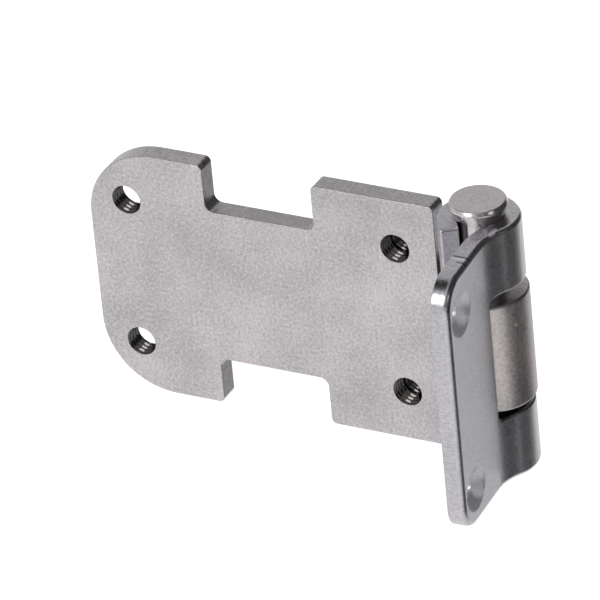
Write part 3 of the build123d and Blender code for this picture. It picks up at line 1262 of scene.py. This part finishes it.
@dataclass
class ScrewLeaf:
    """The formed leaf: flange, reverse bend, two open knuckles and two countersunk holes."""

    at: HingeFrame
    thickness: float = 3.35 * MM
    splay: float = math.radians(3.5)
    curl_radius: float = 7.35 * MM
    flange_reach: float = 25.3 * MM
    flange_offset: float = 0.85 * MM
    upper_corner: float = 5.8 * MM
    lower_corner: float = 5.0 * MM
    bend_radius: float = 10.0 * MM
    curl_end: float = math.radians(209.5)
    tail: float = 3.9 * MM
    window_reach: float = 8.1 * MM
    window_top: float = 12.45 * MM
    window_bottom: float = -11.95 * MM
    window_corner: float = 1.5 * MM
    tail_corner: float = 0.7 * MM
    screw_radius: float = 2.25 * MM
    sink_radius: float = 4.1 * MM
    screw_reach: float = 19.9 * MM
    screw_spacing: float = 35.1 * MM
    screw_middle: float = -0.6 * MM
    sink_flare: float = 0.15 * MM
    exit_flare: float = 0.2 * MM
    rim: CutEdge = CutEdge(show_round=1.05 * MM, back_round=0.18 * MM)
    rim_steps: tuple[tuple[float, float, float], ...] = (
        (0.28, 15.0 * MM, 8.0 * MM),
        (0.32, 30.0 * MM, 7.0 * MM),
    )
    window_share: float = 0.45

    def path(self) -> SheetPath:
        """Lay out the outer face's line in plan: flange, reverse bend, curl, tail.

        Returns:
            The path.
        """
        outer_x = self.flange_offset + self.thickness
        bend_x = outer_x + self.bend_radius
        bend_y = -math.sqrt((self.curl_radius + self.bend_radius) ** 2 - bend_x**2)
        turn = math.atan2(-bend_y, bend_x)
        runs = [
            (self.flange_reach + bend_y, 0.0),
            (self.bend_radius * turn, -1.0 / self.bend_radius),
            (self.curl_radius * (self.curl_end + turn), 1.0 / self.curl_radius),
            (self.tail, 0.0),
        ]
        return SheetPath((outer_x, -self.flange_reach), math.pi / 2.0, runs)

    def rim_share(self, outline: Path2D, window: float) -> np.ndarray:
        """Say how much of the rim's round-over each point of the outline has.

        It starts at 1 on the flange, and each rim step (drop, start, length) takes a smooth drop off it
        along the sheet. Round the window it has a share of its own.

        Args:
            outline: The leaf's outline.
            window: The distance along the sheet at which the window starts.

        Returns:
            The share at each point.
        """
        along, up = outline.points.T
        share = np.ones(len(along))
        for drop, start, length in self.rim_steps:
            share = share - drop * smoothstep((along - start) / length)
        hair = 0.01 * MM
        inside = (along > window - hair) & (up > self.window_bottom - hair) & (up < self.window_top + hair)
        return np.where(inside, self.window_share, share)

    def screw_hole(self) -> TurnedHole:
        """Shape the screw hole: a countersink of 45 degrees, a bore and a broken edge behind.

        Returns:
            The hole.
        """
        bore, mouth, back = self.screw_radius, self.sink_radius, self.thickness
        corners = [
            (mouth + self.sink_flare, 0.0), (mouth, 0.0), (bore, mouth - bore),
            (bore, back), (bore + self.exit_flare, back),
        ]
        return TurnedHole(corners, [0.0, self.sink_flare, 0.08 * MM, 0.12 * MM, 0.0])

    def finish(self) -> TumbledSteel:
        """Mark the leaf's steel: a punch mark, painted shade and highlights on its top, painted shade at its
        upper front corner and under its window, and painted highlights on its flange and countersinks.

        Returns:
            The finish.
        """
        top = self.at.leaf_top / MM
        window = (self.at.pin_x / MM, self.at.pin_y / MM - 3.0, self.window_bottom / MM)
        marks = (
            Spot(Mark.DENT, (46.4, -6.9, top), (0.9, 1.3, 0.5), 0.7),
            Spot(Mark.STAIN, (46.4, -6.9, top), (0.95, 1.35, 0.5), 0.9, 0.3),
            # Painted highlight: a shiny streak on the outer part of the top face
            Spot(Mark.PAINTED_HIGHLIGHT, (48.3, -5.0, top), (0.5, 1.5, 0.5), 0.6),
            # Painted shade and a painted highlight across the top face, in place of a small shear step that
            # the shape leaves out
            Spot(Mark.PAINTED_SHADE, (46.4, -14.2, top), (1.9, 0.3, 0.8), 0.8),
            Spot(Mark.PAINTED_HIGHLIGHT, (46.4, -14.9, top), (1.9, 0.3, 0.6), 0.5),
            Spot(Mark.PAINTED_SHADE, (47.7, -15.9, top), (1.4, 0.28, 0.8), 0.7),
            # Painted dark reflection on the flange's upper front corner round
            Spot(Mark.PAINTED_SHADE, (46.3, -22.5, 23.8), (2.6, 0.9, 0.7), 0.25),
            # Painted highlight: a thin pale line on the flange's outer face near the bend
            Spot(Mark.PAINTED_HIGHLIGHT, (48.3, -11.9, 9.65), (1.5, 3.2, 0.12), 0.35),
            # Painted highlights in the countersinks
            Spot(Mark.PAINTED_HIGHLIGHT, (47.22, -17.59, 15.0), (1.3, 1.3, 2.2), 0.4),
            Spot(Mark.PAINTED_HIGHLIGHT, (47.82, -16.46, 17.79), (0.6, 0.6, 1.0), 0.35),
            Spot(Mark.PAINTED_HIGHLIGHT, (47.58, -17.12, -20.0), (1.3, 1.3, 2.2), 0.4),
            Spot(Mark.PAINTED_HIGHLIGHT, (48.14, -16.2, -16.96), (0.6, 0.5, 1.0), 0.35),
            # Painted shade on the lower knuckle's top face, in the gap under the strap's knuckle
            Spot(Mark.PAINTED_SHADE, window, (8.0, 6.0, 0.4)),
        )
        return TumbledSteel(
            "leaf_finish", tint=(0.99, 0.983, 1.04), roughness=0.3, wall_roughness=0.22,
            shear=(0.2, 1.0, 1.0), contrast=0.6, spots=marks,
        )

    def build(self) -> bpy.types.Object:
        """Build and place the leaf; its sheet is laid out from the flange's free edge.

        Returns:
            The piece.
        """
        path = self.path()
        sheet = Sheet("leaf_body", self.thickness, path, Seat((self.at.pin_x, self.at.pin_y), self.splay))
        end = float(path.breaks()[-1])
        bend_start = float(path.breaks()[1])
        bend_turn = math.asin((self.flange_reach - self.window_reach - bend_start) / self.bend_radius)
        window = bend_start + self.bend_radius * bend_turn
        top, bottom = self.at.leaf_top, self.at.leaf_bottom
        corners = [
            (0.0, bottom), (end, bottom), (end, self.window_bottom), (window, self.window_bottom),
            (window, self.window_top), (end, self.window_top), (end, top), (0.0, top),
        ]
        tail, hole = self.tail_corner, self.window_corner
        radii = [self.lower_corner, tail, tail, hole, hole, tail, tail, self.upper_corner]
        outline = rounded_path(corners, radii, stations=path.stations(sheet.station_step))
        share = self.rim_share(outline, window)
        sheet.walls.append(self.rim.wall(outline, sheet.thickness, share))
        screw = self.screw_hole()
        for row in (-1, 1):
            height = self.screw_middle + row * self.screw_spacing / 2.0
            sheet.walls.append(screw.wall((self.flange_reach - self.screw_reach, height)))
        return show(sheet.mesh(), Side.LEAF, "screw_leaf", self.finish())


@dataclass
class HingePin:
    """The turned pin: chamfered foot, plain shaft, bevelled head."""

    at: HingeFrame
    radius: float = 4.0 * MM
    foot_chamfer: float = 0.6 * MM
    head_radius: float = 5.25 * MM
    crown_radius: float = 4.85 * MM
    neck_radius: float = 4.4 * MM
    bevel: float = 2.2 * MM
    small_round: float = 0.12 * MM
    rim_round: float = 0.5 * MM
    crown_round: float = 0.3 * MM
    arc_step: float = math.radians(3.0)
    segments: int = 128

    def finish(self) -> TumbledSteel:
        """Mark the pin's head with two ring-shaped stains and a ring-shaped dent.

        Returns:
            The finish.
        """
        middle = (43.7, 0.1, self.at.head_top / MM)
        marks = (
            Spot(Mark.STAIN, middle, (1.55, 1.55, 0.4), 0.5, 0.09),
            Spot(Mark.DENT, middle, (1.35, 1.35, 0.4), 0.5, 0.12),
            Spot(Mark.STAIN, (44.0, 0.2, self.at.head_top / MM), (0.7, 0.7, 0.4), 0.4, 0.16),
        )
        return TumbledSteel(
            "pin_finish", tone=0.64, wall_roughness=0.16, contrast=0.6, relief=0.3, spots=marks
        )

    def build(self) -> bpy.types.Object:
        """Build and place the pin, turned about the hinge's axis.

        Returns:
            The piece.
        """
        bottom, seat, top = self.at.leaf_bottom, self.at.leaf_top, self.at.head_top
        corners = [
            (0.0, bottom), (self.radius - self.foot_chamfer, bottom),
            (self.radius, bottom + self.foot_chamfer), (self.radius, seat),
            (self.neck_radius, seat), (self.head_radius, seat + self.bevel),
            (self.crown_radius, top), (0.0, top),
        ]
        rounds = [0.0, *[self.small_round] * 4, self.rim_round, self.crown_round, 0.0]
        profile = rounded_path(corners, rounds, closed=False, arc_step=self.arc_step)
        mesh = turned_mesh("pin_body", profile, (self.at.pin_x, self.at.pin_y), self.segments)
        return show(mesh, Side.LEAF, "hinge_pin", self.finish())


@dataclass(frozen=True)
class Camera:
    """The photograph's viewpoint: a long lens, turned, raised and rolled, aimed near the origin."""

    azimuth: float = math.radians(29.495)
    elevation: float = math.radians(30.745)
    roll: float = math.radians(5.575)
    distance: float = 1402.9 * MM
    right: float = 5.854 * MM
    up: float = -0.793 * MM
    lens: float = 480.0
    sensor_width: float = 36.0
    clip_end: float = 100.0

    def place(self) -> None:
        """Create the camera and make it the scene's."""
        ca, sa = math.cos(self.azimuth), math.sin(self.azimuth)
        ce, se = math.cos(self.elevation), math.sin(self.elevation)
        back = Vector((sa * ce, -ca * ce, se))
        level = Vector((ca, sa, 0.0))
        upright = back.cross(level)
        top = upright * math.cos(self.roll) + level * math.sin(self.roll)
        side = level * math.cos(self.roll) - upright * math.sin(self.roll)
        data = bpy.data.cameras.new("photo_camera")
        data.lens = self.lens
        data.sensor_width = self.sensor_width
        data.clip_end = self.clip_end
        camera = bpy.data.objects.new("photo_camera", data)
        spot = back * self.distance + side * self.right + top * self.up
        camera.matrix_world = Matrix.Translation(spot) @ Matrix((side, top, back)).transposed().to_4x4()
        bpy.context.scene.collection.objects.link(camera)
        bpy.context.scene.camera = camera


@dataclass(frozen=True)
class SoftBox:
    """A square studio lamp that looks at the hinge."""

    name: str
    azimuth: float
    elevation: float
    distance: float
    size: float
    power: float

    def place(self, target: Vector) -> None:
        """Create the lamp.

        Args:
            target: The point that it looks at.
        """
        a, e = math.radians(self.azimuth), math.radians(self.elevation)
        way = Vector((math.sin(a) * math.cos(e), -math.cos(a) * math.cos(e), math.sin(e)))
        data = bpy.data.lights.new(self.name, "AREA")
        data.shape = "SQUARE"
        data.size = self.size
        data.energy = self.power
        lamp = bpy.data.objects.new(self.name, data)
        lamp.location = target + way * self.distance
        lamp.rotation_euler = way.to_track_quat("Z", "Y").to_euler()
        bpy.context.scene.collection.objects.link(lamp)


@dataclass(frozen=True)
class Gap:
    """A dark round gap in the light tent: the way to its middle, and the cosines at its soft edge."""

    way: tuple[float, float, float]
    edge: tuple[float, float]


@dataclass(frozen=True)
class Studio:
    """White floor, a light tent with an opening, a tripod's gap and a roof gap, and the lamps."""

    floor_z: float
    floor_reach: float = 6.0
    fill: float = 0.55
    bright: float = 0.95
    upper: float = 0.58
    opening: float = 0.05
    dimming: tuple[float, float] = (-0.25, 0.35)
    floor_tone: float = 0.8
    floor_roughness: float = 0.9
    floor_glow: float = 0.78
    target: tuple[float, float, float] = (0.01, 0.0, 0.0)
    gaps: tuple[Gap, ...] = (
        Gap((0.887, 0.349, 0.302), (0.45, 0.505)),
        Gap((0.480, -0.852, 0.210), (0.955, 0.978)),
        Gap((-0.375, -0.070, 0.924), (0.930, 0.965)),
    )
    lamps: tuple[SoftBox, ...] = (
        SoftBox("front_box", -16.0, 32.0, 1.1, 0.45, 3.0),
        SoftBox("right_box", 74.0, 22.0, 1.1, 0.25, 0.35),
    )

    def place(self) -> None:
        """Build the floor, the world and the lamps."""
        self._floor()
        self._world()
        for lamp in self.lamps:
            lamp.place(Vector(self.target))
        bpy.context.scene.view_settings.view_transform = "Standard"

    def _floor(self) -> None:
        """Build the floor, white to the camera but for the hinge's soft shadow.

        Reflections pass it and meet the surroundings, as on a product shot over a light table.
        """
        reach = self.floor_reach
        mesh = bpy.data.meshes.new("floor")
        corners = [(-reach, -reach), (reach, -reach), (reach, reach), (-reach, reach)]
        mesh.from_pydata([(x, y, self.floor_z) for x, y in corners], [], [(0, 1, 2, 3)])
        floor = bpy.data.objects.new("floor", mesh)
        floor.visible_glossy = False
        bpy.context.scene.collection.objects.link(floor)
        shader = Shader(bpy.data.materials.new("white_floor"))
        seen = shader.node("ShaderNodeLightPath", output="Is Camera Ray")
        inputs = {
            "Base Color": (*[self.floor_tone] * 3, 1.0),
            "Roughness": self.floor_roughness,
            "Emission Color": WHITE,
            "Emission Strength": seen * self.floor_glow,
        }
        for name, value in inputs.items():
            shader.feed(shader.surface.inputs[name], value)
        mesh.materials.append(shader.owner)

    def _world(self) -> None:
        """Show white to the camera, and a tent with dark gaps to reflections.

        A direction d is in a gap where d . way passes the gap's edge. The tent's upper half is dimmer
        than its lower half.
        """
        world = bpy.data.worlds.new("studio")
        bpy.context.scene.world = world
        shader = Shader(world)
        way = shader.node("ShaderNodeTexCoord", output="Generated")
        dark: Value = 0.0
        for gap in self.gaps:
            facing = shader.node(
                "ShaderNodeVectorMath", {"operation": "DOT_PRODUCT"}, {0: way, 1: gap.way}, output="Value"
            )
            dark = facing.ramp(*gap.edge).maximum(dark)
        height = shader.node("ShaderNodeSeparateXYZ", {}, {0: way}, output="Z")
        level = self.bright + height.ramp(*self.dimming) * (self.upper - self.bright)
        tent = level + dark * (self.opening - level)
        mirrored = shader.node("ShaderNodeLightPath", output="Is Glossy Ray")
        seen = shader.node("ShaderNodeLightPath", output="Is Camera Ray")
        shown = self.fill + mirrored * (tent - self.fill) + seen * (1.0 - self.fill)
        shader.feed(shader.surface.inputs["Strength"], shown)
        shader.feed(shader.surface.inputs["Color"], WHITE)


def main() -> None:
    """Build the hinge, its camera and its studio."""
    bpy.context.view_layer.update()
    at = HingeFrame()
    for piece in (MountingPlate(at), KnuckleStrap(at), ScrewLeaf(at), HingePin(at)):
        piece.build()
    Camera().place()
    Studio(floor_z=min(at.leaf_bottom, -at.plate_top)).place()


if __name__ == "__main__":
    main()
